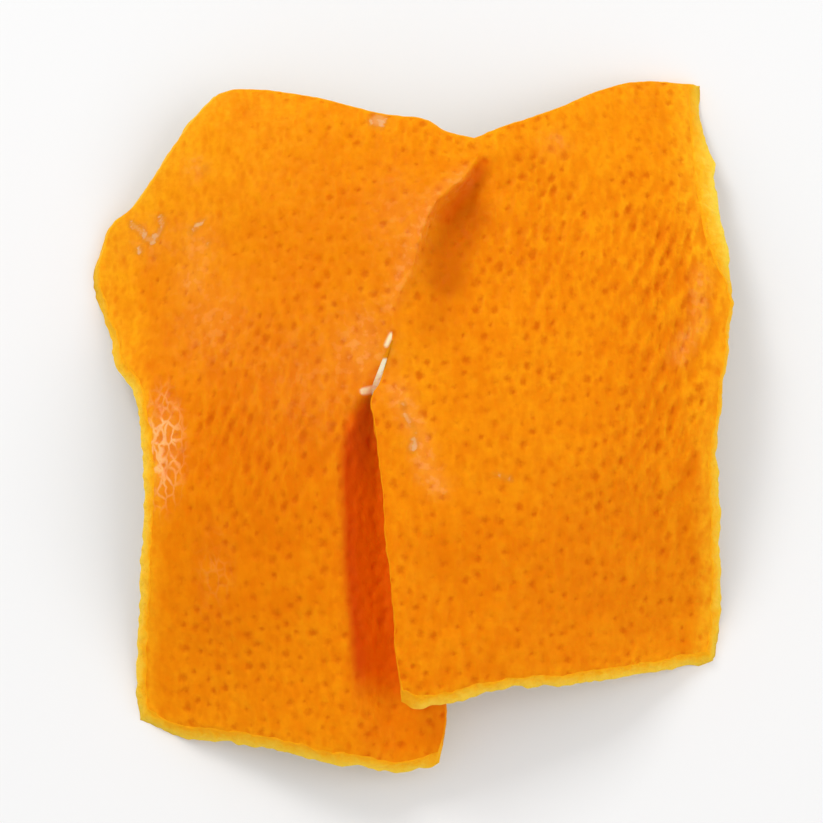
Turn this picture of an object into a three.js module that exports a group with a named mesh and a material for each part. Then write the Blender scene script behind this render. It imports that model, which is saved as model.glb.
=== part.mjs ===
// A loose piece of sweet-orange peel, cut off with a knife in one broad patch.
// It is one solid: a curved plate of zest and pith with two lobes. A crease runs down from a notch in
// the top rim, and its left bank stands proud. Below the crease the peel is torn through to the bottom
// rim, and there the right flap laps over the left one.
// The piece lies zest side up on the low corners of its rim. +X is to its right, +Y is towards the
// notched top rim and +Z is up. The origin is at the bottom centre of its box. Units are millimetres.
import * as THREE from "three";

// Driving dimensions
const HALF_WIDTH = 28.9; // from the middle to the outermost bulge of either side
const HALF_LENGTH = 31; // from the middle of the dome to the top or bottom rim
const CROWN = 11.2; // height of the zest at the middle of the dome, before crease and tear
const SIDE_SAG = 4.9; // how far the zest falls from the crown to a side
const END_SAG = 4.3; // how far it falls from the crown to the top or bottom rim
const DOME_MIDDLE_Y = -2;
const THICKNESS = 2.1; // zest and pith together
const RIM_SHARE = 0.62; // thickness of the cut rim, as a share of the full thickness
const RIM_TAPER = 1.5; // distance over which the peel thins towards its rim
const BEVEL = { top: 0.1, bottom: 0.8 }; // how far the pith reaches past the zest; sideBevel gives the sides
const BEVEL_FADE = 2.2; // how far in from the rim the bevel still leans the plate
const STEEPEST_STRETCH = 1.5; // most that a steep stretch is thickened, measured straight down
const CURL_REACH = 13; // how far a corner's curl down to the ground reaches into the plate
const REST_DEPTH = 0.25; // how deep a curled corner is pressed flat against the ground

// Crease and tear
const TIP = [-2.15, 2.9]; // where the crease ends and the tear starts
const NOTCH = [5.2, 22.3];
const RIDGE_RISE = 1.5;
const VALLEY_DROP = 2.6;
const RIDGE_FADE = 6; // distance over which the ridge fades out into the left half
const VALLEY_FADE = 5; // the same for the valley and the right flap's lift
const WALL_WIDTH = { high: 1.0, low: 2.6 }; // how gently the bank falls from ridge to valley
const WALL_WIDENS = { from: 15, to: 7 };
const CREASE_FOOT_Y = -1.5;
const CREASE_PEAK_Y = 14.5;
const CREASE_FADES = { from: 17, to: 21.6 };
const FLAP_DIP = 2.9; // how far the left flap sinks beside the middle of the tear
const LOW_DIP = 2.6; // how far it sinks at the bottom rim
const DIP_EASES = { from: 14, to: 25 }; // distances below the origin between which the dip grows shallow
const DIP_WIDTH = { tip: 0.5, widening: 0.15, most: 2.6 }; // how wide a roll the left flap's dip has
const FLAP_LIFT = 1.0; // how far the right flap rises beside the tear
const FLAP_PARTING = 5.4; // length of tear over which the two flaps part
const TIP_REACH = 5; // how far below the tip the right flap's edge still follows the ridge

// Grid of the plate
const COLUMNS = 16; // on each side of the crease
const ROWS = 30;
const COLUMN_GRADING = 1.6; // above 1 the columns crowd towards the crease
const WALL_RINGS = 1;

// The rim as seen from above, each stretch from left to right or from bottom to top.
const stretch = (...points) => new THREE.SplineCurve(points.map(([x, y]) => new THREE.Vector2(x, y)));
const RIM = {
  left: stretch(
    [-24, -28.8], [-24.4, -26], [-23.9, -18], [-23.6, -9.5], [-24.1, -3.4], [-25, 0.2], [-26.7, 2.8],
    [-27.4, 5.8], [-29.1, 10.8], [-28.6, 14], [-27.7, 16.1], [-25.3, 18], [-23.2, 20.9], [-20.3, 25],
    [-18.1, 27.3],
  ),
  topLeft: stretch(
    [-18.1, 27.3], [-16.4, 27.7], [-13.2, 27.35], [-8.1, 26.2], [-3.5, 24.8], [0.5, 24.2], [2.7, 23], NOTCH,
  ),
  topRight: stretch(NOTCH, [8.1, 23.7], [12.2, 25.4], [16.3, 27.7], [19.4, 29], [22.3, 29.5], [25.2, 29.5]),
  right: stretch(
    [26, -23.6], [26.5, -20.5], [26.5, -13], [26.3, -7.5], [26.8, -3], [27.4, 1], [28, 5.2], [28.3, 8.2],
    [27.3, 11], [26.3, 13.4], [25.9, 15.5], [25.5, 18.5], [25.3, 21.5], [25.2, 24.5], [25.1, 27.2],
    [25.2, 29.5],
  ),
  bottomLeft: stretch([-24, -28.8], [-21.6, -30.2], [-14.5, -31.5], [-8, -33.2], [-1.5, -33.8], [1.9, -33]),
  bottomRight: stretch([-1.3, -28.2], [1.4, -28.7], [7, -27.2], [14, -26.3], [21, -24.8], [26, -23.6]),
};
// The crease, then each bank of the tear below it. The left flap's bank runs on under the right flap.
const CREASE = stretch(
  TIP, [-2, 5.7], [-1.3, 7.6], [-0.4, 9.4], [0.1, 11.6], [0.7, 13.4], [1.5, 15.3], [2.9, 16.8],
  [4.1, 17.9], [5, 19.4], [5.6, 20.9], NOTCH,
);
const TEAR = {
  left: stretch(
    [1.9, -33], [2.6, -30], [2.2, -22], [1.2, -15], [-0.6, -9.5], [-2.2, -5.4], [-3.2, -3.4], [-3.9, -2.1],
    [-3.95, -1.2], [-3.45, 0.2], [-2.9, 1.5], TIP,
  ),
  right: stretch(
    [-1.3, -28.2], [-1.9, -25], [-2.1, -21], [-2.8, -15], [-3, -11], [-3.4, -8], [-3.8, -4.6], [-4.05, -2.8],
    [-3.85, -1.9], [-3.35, -1], [-2.75, 0.9], TIP,
  ),
};
const TEAR_SHARE = 0.6; // share of the rows that lie below the tip of the tear
// Where the rim rests on the ground
const RESTING_CORNERS = [[-24, -28.8], [-29.1, 10.8], [25.2, 29.5], [26, -23.6]];

const { lerp, smoothstep, clamp } = THREE.MathUtils;

// The line between the two halves at row share v, on the bank of the given side where the peel is torn.
function middle(side, v) {
  if (v >= TEAR_SHARE) return CREASE.getPointAt((v - TEAR_SHARE) / (1 - TEAR_SHARE));
  return TEAR[side].getPointAt(v / TEAR_SHARE);
}

// Plan position of the plate at share u from the outer rim (0) to the middle line (1) and row share v,
// as a Coons patch between the four stretches that bound that half.
function plan(side, u, v) {
  const outer = RIM[side];
  const [bottom, top] = side === "left" ? [RIM.bottomLeft, RIM.topLeft] : [RIM.bottomRight, RIM.topRight];
  const along = side === "left" ? u : 1 - u;
  const corners = [outer.getPointAt(0), middle(side, 0), outer.getPointAt(1), middle(side, 1)];
  const across = outer.getPointAt(v).lerp(middle(side, v), u);
  const upward = bottom.getPointAt(along).lerp(top.getPointAt(along), v);
  const bilinear = corners[0].lerp(corners[1], u).lerp(corners[2].lerp(corners[3], u), v);
  return across.add(upward).sub(bilinear);
}

// Height of the plain dome over a plan position.
function dome(x, y) {
  const side = Math.abs(x / HALF_WIDTH) ** 2.6;
  const end = Math.abs((y - DOME_MIDDLE_Y) / HALF_LENGTH) ** 2.4;
  return CROWN - SIDE_SAG * side - END_SAG * end;
}

const RIM_THICKNESS = THICKNESS * RIM_SHARE;
const curls = RESTING_CORNERS.map(([x, y]) => ({ x, y, drop: dome(x, y) - RIM_THICKNESS + REST_DEPTH }));

// How far the corners curl down at a plan position.
function curl(x, y) {
  return curls.reduce((sum, c) => sum + c.drop * Math.exp(-((x - c.x) ** 2 + (y - c.y) ** 2) / CURL_REACH ** 2), 0);
}

// How strongly the peel is creased at height y of the plan, and how far its flaps have parted there.
function fold(y) {
  const fade = 1 - smoothstep(y, CREASE_FADES.from, CREASE_FADES.to);
  return smoothstep(y, CREASE_FOOT_Y, CREASE_PEAK_Y) * fade;
}
function parting(y) {
  return 1 - Math.exp(-((Math.max(TIP[1] - y, 0) / FLAP_PARTING) ** 3));
}

// How far the left half rises over the dome, d past the middle line towards the right: a ridge beside
// the crease and a dip, rolled down under the right flap, beside the tear.
function leftBank(y, d) {
  const beside = Math.min(d, 0);
  const width = Math.min(DIP_WIDTH.tip + DIP_WIDTH.widening * Math.max(TIP[1] - y, 0), DIP_WIDTH.most);
  const dip = lerp(FLAP_DIP, LOW_DIP, smoothstep(-y, DIP_EASES.from, DIP_EASES.to)) * parting(y);
  return RIDGE_RISE * fold(y) * Math.exp(beside / RIDGE_FADE) - dip * Math.exp(-((beside / width) ** 2));
}

// The same for the right half: a valley beside the crease and a slight lift beside the tear.
function rightBank(y, d) {
  return (FLAP_LIFT * parting(y) - VALLEY_DROP * fold(y)) * Math.exp(-Math.max(d, 0) / VALLEY_FADE);
}

// Height of the zest at plan position p of one half, d past the middle line towards the right.
function zest(side, p, d, v) {
  const left = leftBank(p.y, d);
  const right = rightBank(p.y, d);
  const width = lerp(WALL_WIDTH.low, WALL_WIDTH.high, smoothstep(p.y, WALL_WIDENS.to, WALL_WIDENS.from));
  const onRidge = Math.exp(-Math.max(d, 0) / width);
  let bank = side === "left" ? left : right;
  if (v >= TEAR_SHARE) bank = lerp(right, left, onRidge);
  else if (side === "right") bank = lerp(right, left, onRidge * (1 - smoothstep(TIP[1] - p.y, 0, TIP_REACH)));
  return dome(p.x, p.y) - curl(p.x, p.y) + bank;
}

// How far the pith shows beyond the zest along one side of the rim, at height y of the plan.
function sideBevel(side, y) {
  if (side === "left") return 0.5 + 0.4 * (1 - smoothstep(y, 1, 6));
  const band = 1.5 * smoothstep(y, 8.5, 13.5) - 0.85 * smoothstep(y, 20, 27);
  return 0.35 + band + 0.4 * Math.exp(-((y - 21.7) ** 2)) + 0.5 * smoothstep(-y, 4, 9);
}

// Zest point of one half at shares u and v.
function zestPoint(side, u, v) {
  const p = plan(side, u, v);
  const seam = side === "left" ? TEAR.right : TEAR[side];
  const line = v >= TEAR_SHARE ? middle(side, v) : seam.getPointAt(v / TEAR_SHARE);
  return new THREE.Vector3(p.x, p.y, zest(side, p, p.x - line.x, v));
}

// Distance in from each stretch of rim, roughly, at shares u and v of one half.
function insets(side, u, v) {
  const torn = v < TEAR_SHARE ? (1 - u) * HALF_WIDTH : Infinity;
  return { side: u * HALF_WIDTH, top: (1 - v) * 2 * HALF_LENGTH, bottom: v * 2 * HALF_LENGTH, torn };
}

// Point of one half at shares u and v and depth share w, from the zest (0) to the pith face (1).
function peelPoint(side, u, v, w) {
  const step = 0.004;
  const here = zestPoint(side, u, v);
  const beside = zestPoint(side, clamp(u + step, 0, 1), v).sub(zestPoint(side, clamp(u - step, 0, 1), v));
  const above = zestPoint(side, u, clamp(v + step, 0, 1)).sub(zestPoint(side, u, clamp(v - step, 0, 1)));
  const normal = beside.cross(above).normalize();
  const stretched = Math.min(1 / Math.max(Math.abs(normal.z), 1e-3), STEEPEST_STRETCH);
  const inset = insets(side, u, v);
  const nearest = Math.min(inset.side, inset.top, inset.bottom, inset.torn);
  const thickness = THICKNESS * (1 - (1 - RIM_SHARE) * Math.exp(-nearest / RIM_TAPER));
  const outwards = side === "left" ? -1 : 1;
  const lean = (reach, distance) => w * reach * Math.max(0, 1 - distance / BEVEL_FADE);
  return new THREE.Vector3(
    here.x + outwards * lean(sideBevel(side, here.y), inset.side),
    here.y + lean(BEVEL.top, inset.top) - lean(BEVEL.bottom, inset.bottom),
    Math.max(here.z - w * thickness * stretched, (1 - w) * RIM_THICKNESS),
  );
}

// The plate as one closed mesh: a grid of cells on the zest and pith faces, and a wall wherever a cell
// has no neighbour, which is along the rim and along both banks of the tear.
function peelGeometry() {
  const torn = Math.round(ROWS * TEAR_SHARE);
  const positions = [];
  const index = [];
  const known = new Map();
  const rowShare = (j) =>
    j <= torn ? (TEAR_SHARE * j) / torn : lerp(TEAR_SHARE, 1, (j - torn) / (ROWS - torn));
  // Columns run from -COLUMNS at the left rim to COLUMNS at the right rim. The middle column of vertices
  // is doubled below the tip of the tear, once for each flap.
  const vertex = (side, i, j, k) => {
    const shared = i === 0 && j >= torn;
    const key = `${shared ? "both" : side}/${i}/${j}/${k}`;
    if (!known.has(key)) {
      const u = 1 - (Math.abs(i) / COLUMNS) ** COLUMN_GRADING;
      known.set(key, positions.length / 3);
      positions.push(...peelPoint(side, u, rowShare(j), k / WALL_RINGS).toArray());
    }
    return known.get(key);
  };
  const quad = (a, b, c, d) => index.push(a, b, c, a, c, d);
  const exists = (i, j) => i >= -COLUMNS && i < COLUMNS && j >= 0 && j < ROWS;
  for (let j = 0; j < ROWS; j++) {
    for (let i = -COLUMNS; i < COLUMNS; i++) {
      const side = i < 0 ? "left" : "right";
      const at = (di, dj, k) => vertex(side, i + di, j + dj, k);
      quad(at(0, 0, 0), at(1, 0, 0), at(1, 1, 0), at(0, 1, 0));
      quad(at(0, 0, WALL_RINGS), at(0, 1, WALL_RINGS), at(1, 1, WALL_RINGS), at(1, 0, WALL_RINGS));
      const open = {
        left: !exists(i - 1, j) || (i === 0 && j < torn),
        right: !exists(i + 1, j) || (i === -1 && j < torn),
        bottom: !exists(i, j - 1),
        top: !exists(i, j + 1),
      };
      const ends = { left: [0, 1, 0, 0], right: [1, 0, 1, 1], bottom: [0, 0, 1, 0], top: [1, 1, 0, 1] };
      for (const [name, [ai, aj, bi, bj]] of Object.entries(ends)) {
        if (!open[name]) continue;
        for (let k = 0; k < WALL_RINGS; k++) {
          quad(at(ai, aj, k), at(ai, aj, k + 1), at(bi, bj, k + 1), at(bi, bj, k));
        }
      }
    }
  }
  const geometry = new THREE.BufferGeometry();
  geometry.setAttribute("position", new THREE.Float32BufferAttribute(positions, 3));
  geometry.setIndex(index);
  geometry.computeBoundingBox();
  const box = geometry.boundingBox;
  const centre = box.getCenter(new THREE.Vector3());
  geometry.translate(-centre.x, -centre.y, -box.min.z);
  geometry.computeVertexNormals();
  return geometry;
}

const zestMaterial = new THREE.MeshStandardMaterial({ color: 0xf78c12, roughness: 0.45, metalness: 0 });
const peel = new THREE.Mesh(peelGeometry(), zestMaterial);
peel.name = "orange_peel";

const root = new THREE.Group();
root.name = "orange_peel_piece";
root.add(peel);

export default root;
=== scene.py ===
"""A loose piece of sweet-orange peel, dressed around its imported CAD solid.

The piece is one curved plate of zest and pith with two lobes, a crease below a notch in the top rim and
a tear below the crease, where the right flap laps over the left one. It lies zest side up. The CAD frame
gives its place: +X is to the right, +Y towards the notched rim and +Z up. Blender units are metres. The
classes below think in millimetres, as a cook measures peel, and convert when they write a mesh.
"""

from __future__ import annotations

import logging
import math
import random
from contextlib import contextmanager
from dataclasses import dataclass, field
from enum import Enum
from typing import Any, Iterator, Sequence

import bpy
import numpy as np
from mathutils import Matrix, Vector, kdtree, noise

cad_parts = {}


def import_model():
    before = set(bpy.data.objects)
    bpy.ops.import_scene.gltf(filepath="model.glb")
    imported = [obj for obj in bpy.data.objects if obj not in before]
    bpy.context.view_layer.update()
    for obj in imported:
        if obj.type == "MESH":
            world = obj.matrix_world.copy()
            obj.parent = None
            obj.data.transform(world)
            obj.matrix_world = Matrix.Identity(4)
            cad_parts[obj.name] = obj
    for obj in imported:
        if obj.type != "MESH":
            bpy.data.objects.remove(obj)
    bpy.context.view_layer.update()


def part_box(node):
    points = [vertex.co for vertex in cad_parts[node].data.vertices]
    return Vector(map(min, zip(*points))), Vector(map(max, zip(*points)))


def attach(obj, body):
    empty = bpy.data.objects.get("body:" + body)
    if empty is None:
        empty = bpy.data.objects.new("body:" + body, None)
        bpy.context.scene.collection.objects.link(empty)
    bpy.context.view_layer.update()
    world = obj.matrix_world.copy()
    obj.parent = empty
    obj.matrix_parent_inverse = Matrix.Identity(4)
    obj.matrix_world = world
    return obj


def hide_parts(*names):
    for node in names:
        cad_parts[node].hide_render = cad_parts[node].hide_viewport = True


LOG = logging.getLogger("orange_peel")
MM = 0.001
TINY = 1e-6
NODE = "orange_peel"
BODY = "root"

Array = np.ndarray
Plan = tuple[float, float]
Colour = tuple[int, int, int]
Socket = bpy.types.NodeSocket


class Flap(Enum):
    """The two halves of the piece, on either side of the crease and the tear."""

    LEFT = -1
    RIGHT = 1


class Layer(Enum):
    """The three faces of the peel, in the order of their material slots."""

    ZEST = 0
    RIM = 1
    PITH = 2


# --- Helpers ---


def smooth(value: Array, low: Array | float, high: Array | float) -> Array:
    """Smooth step of value from 0 at low to 1 at high, which may be the lower of the two."""
    share = np.clip((value - low) / (high - low), 0, 1)
    return share * share * (3 - 2 * share)


def read_rows(items: bpy.types.bpy_prop_collection, name: str) -> Array:
    """A property of all of a mesh's vertices or faces.

    Args:
        items: the vertices or faces.
        name: the property, of three numbers each.

    Returns:
        Its values as rows of x, y and z.
    """
    made = np.zeros(len(items) * 3)
    items.foreach_get(name, made)
    return made.reshape(-1, 3)


def write_coordinates(piece: bpy.types.Object, made: Array) -> None:
    """Moves the piece's vertices to rows of x, y and z."""
    piece.data.vertices.foreach_set("co", made.ravel())
    piece.data.update()


def store(piece: bpy.types.Object, name: str, values: Array) -> None:
    """Keeps one number for each vertex under a name that materials can read."""
    layer = piece.data.attributes.get(name) or piece.data.attributes.new(name, "FLOAT", "POINT")
    layer.data.foreach_set("value", values.astype(np.float32))


def read(piece: bpy.types.Object, name: str) -> Array:
    """The numbers kept under a name.

    Args:
        piece: a mesh object.
        name: the name they were stored under.

    Returns:
        One number for each vertex.
    """
    values = np.zeros(len(piece.data.vertices), np.float32)
    piece.data.attributes[name].data.foreach_get("value", values)
    return values.astype(float)


@contextmanager
def editing() -> Iterator[None]:
    """Works on the active mesh in edit mode, and comes back to object mode."""
    bpy.ops.object.mode_set(mode="EDIT")
    yield
    bpy.ops.object.mode_set(mode="OBJECT")


def activate(*pieces: bpy.types.Object) -> None:
    """Selects just these pieces, and makes the first of them active.

    Args:
        pieces: one or more mesh objects.
    """
    bpy.ops.object.select_all(action="DESELECT")
    for piece in pieces:
        piece.select_set(True)
    bpy.context.view_layer.objects.active = pieces[0]


def select(piece: bpy.types.Object, chosen: Array, kind: str = "VERT") -> None:
    """Selects just the chosen vertices or faces of the active piece, in object mode.

    Args:
        piece: the active mesh object.
        chosen: whether each vertex or face is wanted.
        kind: VERT for vertices or FACE for faces.
    """
    with editing():
        bpy.ops.mesh.select_mode(type=kind)
        bpy.ops.mesh.select_all(action="DESELECT")
    items = piece.data.vertices if kind == "VERT" else piece.data.polygons
    items.foreach_set("select", chosen)


# --- Shape of the peel ---


@dataclass(frozen=True)
class Profile:
    """A measure that changes from the bottom rim to the top: a base and smooth steps up or down."""

    base: float
    steps: tuple[tuple[float, float, float], ...] = ()

    def at(self, y: Array) -> Array:
        """The measure at plan position y. Each step is its height, where it starts and where it ends."""
        return self.base + sum(height * smooth(y, start, end) for height, start, end in self.steps)


class Stretch:
    """A smooth curve through a few points of the rim, measured by its length."""

    SAMPLES = 200

    def __init__(self, *points: Plan) -> None:
        """Lays the curve.

        Args:
            points: plan positions in millimetres that the curve passes through, in order.
        """
        self.points = np.array(points, float)
        self.shares = np.linspace(0, 1, self.SAMPLES + 1)
        steps = np.linalg.norm(np.diff(self._raw(self.shares), axis=0), axis=1)
        self.lengths = np.concatenate([[0], np.cumsum(steps)]) / steps.sum()

    def _raw(self, share: Array) -> Array:
        """Catmull-Rom curve through the points.

        Args:
            share: shares of the way through the points, from 0 to 1.

        Returns:
            Plan positions as rows of x and y.
        """
        last = len(self.points) - 1
        place = np.clip(np.asarray(share, float), 0, 1) * last
        start = np.minimum(np.floor(place).astype(int), last)
        part = (place - start)[..., None]
        before = self.points[np.maximum(start - 1, 0)]
        here = self.points[start]
        ahead = self.points[np.minimum(start + 1, last)]
        beyond = self.points[np.minimum(start + 2, last)]
        leave, arrive = (ahead - before) / 2, (beyond - here) / 2
        cubic = (2 * here - 2 * ahead + leave + arrive) * part**3
        square = (-3 * here + 3 * ahead - 2 * leave - arrive) * part**2
        return cubic + square + leave * part + here

    def at(self, share: Array) -> Array:
        """Plan position at a share of the curve's length, from 0 to 1."""
        return self._raw(np.interp(share, self.lengths, self.shares))


@dataclass
class PeelForm:
    """The form of the plate in millimetres, the same as that of its CAD solid."""

    half_width: float = 28.9
    half_length: float = 31.0
    crown: float = 11.2
    side_sag: float = 4.9
    side_power: float = 2.6
    end_sag: float = 4.3
    end_power: float = 2.4
    dome_middle_y: float = -2.0
    thickness: float = 2.1
    rim_share: float = 0.62
    rim_taper: float = 1.5
    steepest_stretch: float = 1.5
    normal_step: float = 0.004
    curl_reach: float = 13.0
    rest_depth: float = 0.25
    bevel_fade: float = 2.2
    top_bevel: float = 0.1
    bottom_bevel: float = 0.8
    left_bevel: Profile = Profile(0.5, ((0.4, 6, 1),))
    right_bevel: Profile = Profile(0.35, ((1.5, 8.5, 13.5), (-0.85, 20, 27), (0.5, -4, -9)))
    tooth: float = 0.4
    tooth_y: float = 21.7
    ridge_rise: float = 1.5
    valley_drop: float = 2.6
    ridge_fade: float = 6.0
    valley_fade: float = 5.0
    wall_width: Plan = (1.0, 2.6)
    wall_widens: Plan = (7.0, 15.0)
    crease_rises: Plan = (-1.5, 14.5)
    crease_fades: Plan = (17.0, 21.6)
    flap_dip: float = 2.9
    low_dip: float = 2.6
    dip_eases: Plan = (14.0, 25.0)
    dip_width_at_tip: float = 0.5
    dip_widening: float = 0.15
    widest_dip: float = 2.6
    flap_lift: float = 1.0
    flap_parting: float = 5.4
    parting_power: float = 3.0
    shut_below: float = 5.0
    tear_share: float = 0.6
    lip_share: float = 0.94
    widest_lip: float = 0.7
    lip_samples: int = 400
    ledge_depth: float = 0.06
    snug_reach: float = 1.2
    snug_below: Plan = (2.5, 7.0)
    snug_above: float = 2.0
    tip: Plan = (-2.15, 2.9)

    def __post_init__(self) -> None:
        """Lays the rim, the crease and the tear, and works out how far each resting corner curls."""
        notch = (5.2, 22.3)
        low_left, bulge, high_left = (-24.0, -28.8), (-29.1, 10.8), (-18.1, 27.3)
        low_right, high_right = (26.0, -23.6), (25.2, 29.5)
        left_end, right_end = (1.9, -33.0), (-1.3, -28.2)
        self.outer = {
            Flap.LEFT: Stretch(
                low_left, (-24.4, -26), (-23.9, -18), (-23.6, -9.5), (-24.1, -3.4), (-25, 0.2), (-26.7, 2.8),
                (-27.4, 5.8), bulge, (-28.6, 14), (-27.7, 16.1), (-25.3, 18), (-23.2, 20.9), (-20.3, 25),
                high_left,
            ),
            Flap.RIGHT: Stretch(
                low_right, (26.5, -20.5), (26.5, -13), (26.3, -7.5), (26.8, -3), (27.4, 1), (28, 5.2),
                (28.3, 8.2), (27.3, 11), (26.3, 13.4), (25.9, 15.5), (25.5, 18.5), (25.3, 21.5),
                (25.2, 24.5), (25.1, 27.2), high_right,
            ),
        }
        self.top = {
            Flap.LEFT: Stretch(
                high_left, (-16.4, 27.7), (-13.2, 27.35), (-8.1, 26.2), (-3.5, 24.8), (0.5, 24.2), (2.7, 23),
                notch,
            ),
            Flap.RIGHT: Stretch(
                notch, (8.1, 23.7), (12.2, 25.4), (16.3, 27.7), (19.4, 29), (22.3, 29.5), high_right,
            ),
        }
        self.bottom = {
            Flap.LEFT: Stretch(
                low_left, (-21.6, -30.2), (-14.5, -31.5), (-8, -33.2), (-1.5, -33.8), left_end,
            ),
            Flap.RIGHT: Stretch(right_end, (1.4, -28.7), (7, -27.2), (14, -26.3), (21, -24.8), low_right),
        }
        self.crease = Stretch(
            self.tip, (-2, 5.7), (-1.3, 7.6), (-0.4, 9.4), (0.1, 11.6), (0.7, 13.4), (1.5, 15.3),
            (2.9, 16.8), (4.1, 17.9), (5, 19.4), (5.6, 20.9), notch,
        )
        self.tear = {
            Flap.LEFT: Stretch(
                left_end, (2.6, -30), (2.2, -22), (1.2, -15), (-0.6, -9.5), (-2.2, -5.4), (-3.2, -3.4),
                (-3.9, -2.1), (-3.95, -1.2), (-3.45, 0.2), (-2.9, 1.5), self.tip,
            ),
            Flap.RIGHT: Stretch(
                right_end, (-1.9, -25), (-2.1, -21), (-2.8, -15), (-3, -11), (-3.4, -8), (-3.8, -4.6),
                (-4.05, -2.8), (-3.85, -1.9), (-3.35, -1), (-2.75, 0.9), self.tip,
            ),
        }
        resting = np.array([low_left, bulge, high_right, low_right])
        self.rim_thickness = self.thickness * self.rim_share
        drops = self.dome(resting[:, 0], resting[:, 1]) - self.rim_thickness + self.rest_depth
        self.curls = [(x, y, drop) for (x, y), drop in zip(resting, drops)]

    def middle(self, side: Flap, v: Array) -> Array:
        """Plan position of the line between the halves, on one bank of the tear.

        Args:
            side: the half whose bank is wanted.
            v: row shares, 0 at the bottom rim and 1 at the top.

        Returns:
            Positions as rows of x and y.
        """
        above = self.crease.at((v - self.tear_share) / (1 - self.tear_share))
        below = self.tear[side].at(v / self.tear_share)
        return np.where((v >= self.tear_share)[:, None], above, below)

    def past_middle(self, x: Array, v: Array) -> Array:
        """How far to the right of the right bank's middle line the plan positions x lie, at row shares v."""
        return x - self.middle(Flap.RIGHT, v)[:, 0]

    def plan(self, side: Flap, u: Array, v: Array) -> Array:
        """Plan position at shares u and v of one half, as a Coons patch.

        Args:
            side: the half.
            u: column shares, 0 at the outer rim and 1 at the middle line.
            v: row shares, 0 at the bottom rim and 1 at the top.

        Returns:
            Positions as rows of x and y.
        """
        outer, bottom, top = self.outer[side], self.bottom[side], self.top[side]
        along = u if side is Flap.LEFT else 1 - u
        one, up, across = np.ones(1), v[:, None], u[:, None]
        low, high = outer.at(0 * one), outer.at(one)
        low_in, high_in = self.middle(side, 0 * one), self.middle(side, one)
        sideways = outer.at(v) * (1 - across) + self.middle(side, v) * across
        upward = bottom.at(along) * (1 - up) + top.at(along) * up
        corners = (low * (1 - across) + low_in * across) * (1 - up)
        corners = corners + (high * (1 - across) + high_in * across) * up
        return sideways + upward - corners

    def dome(self, x: Array, y: Array) -> Array:
        """Height of the plain dome.

        Args:
            x: plan positions to the right.
            y: plan positions towards the notched rim.

        Returns:
            Heights in millimetres.
        """
        side = np.abs(x / self.half_width) ** self.side_power
        end = np.abs((y - self.dome_middle_y) / self.half_length) ** self.end_power
        return self.crown - self.side_sag * side - self.end_sag * end

    def curl(self, x: Array, y: Array) -> Array:
        """How far the resting corners curl down at plan positions x and y."""
        reach = self.curl_reach**2
        return sum(drop * np.exp(-((x - cx) ** 2 + (y - cy) ** 2) / reach) for cx, cy, drop in self.curls)

    def fold(self, y: Array) -> Array:
        """How strongly the peel is creased at plan position y, from 0 to 1."""
        return smooth(y, *self.crease_rises) * (1 - smooth(y, *self.crease_fades))

    def parting(self, y: Array) -> Array:
        """How far the flaps have parted at plan position y, from 0 to 1."""
        return 1 - np.exp(-((np.maximum(self.tip[1] - y, 0) / self.flap_parting) ** self.parting_power))

    def dip_width(self, y: Array) -> Array:
        """How far in from the middle line the left flap starts to duck under the right one."""
        below = np.maximum(self.tip[1] - y, 0)
        return np.minimum(self.dip_width_at_tip + self.dip_widening * below, self.widest_dip)

    def left_bank(self, y: Array, d: Array) -> Array:
        """How far the left half rises over the dome.

        Args:
            y: plan positions towards the notched rim.
            d: how far past the middle line, towards the right.

        Returns:
            Heights in millimetres.
        """
        beside = np.minimum(d, 0)
        dip = self.flap_dip + (self.low_dip - self.flap_dip) * smooth(-y, *self.dip_eases)
        ridge = self.ridge_rise * self.fold(y) * np.exp(beside / self.ridge_fade)
        return ridge - dip * self.parting(y) * np.exp(-((beside / self.dip_width(y)) ** 2))

    def right_bank(self, y: Array, d: Array) -> Array:
        """How far the right half rises over the dome at plan position y, d past the middle line."""
        rise = self.flap_lift * self.parting(y) - self.valley_drop * self.fold(y)
        return rise * np.exp(-np.maximum(d, 0) / self.valley_fade)

    def zest(self, side: Flap, u: Array, v: Array) -> Array:
        """Points of the zest face of one half.

        Args:
            side: the half.
            u: column shares, 0 at the outer rim and 1 at the middle line.
            v: row shares, 0 at the bottom rim and 1 at the top.

        Returns:
            Points as rows of x, y and z.
        """
        x, y = self.plan(side, u, v).T
        d = self.past_middle(x, v)
        left, right = self.left_bank(y, d), self.right_bank(y, d)
        narrow, wide = self.wall_width
        width = wide + (narrow - wide) * smooth(y, *self.wall_widens)
        step = 1 - np.exp(-np.maximum(d, 0) / width)
        bank = left
        if side is Flap.RIGHT:
            shut = 1 - smooth(self.tip[1] - y, 0, self.shut_below)
            bank = right + shut * (1 - step) * (left - right)
        bank = np.where(v >= self.tear_share, left * (1 - step) + right * step, bank)
        return np.column_stack([x, y, self.dome(x, y) - self.curl(x, y) + bank])

    def insets(self, u: Array, v: Array) -> dict[str, Array]:
        """Rough distance in from each stretch of rim.

        Args:
            u: column shares, 0 at the outer rim and 1 at the middle line.
            v: row shares, 0 at the bottom rim and 1 at the top.

        Returns:
            Distances in millimetres, by the name of the stretch.
        """
        torn = np.where(v < self.tear_share, (1 - u) * self.half_width, np.inf)
        length = 2 * self.half_length
        return {"side": u * self.half_width, "top": (1 - v) * length, "bottom": v * length, "torn": torn}

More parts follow.
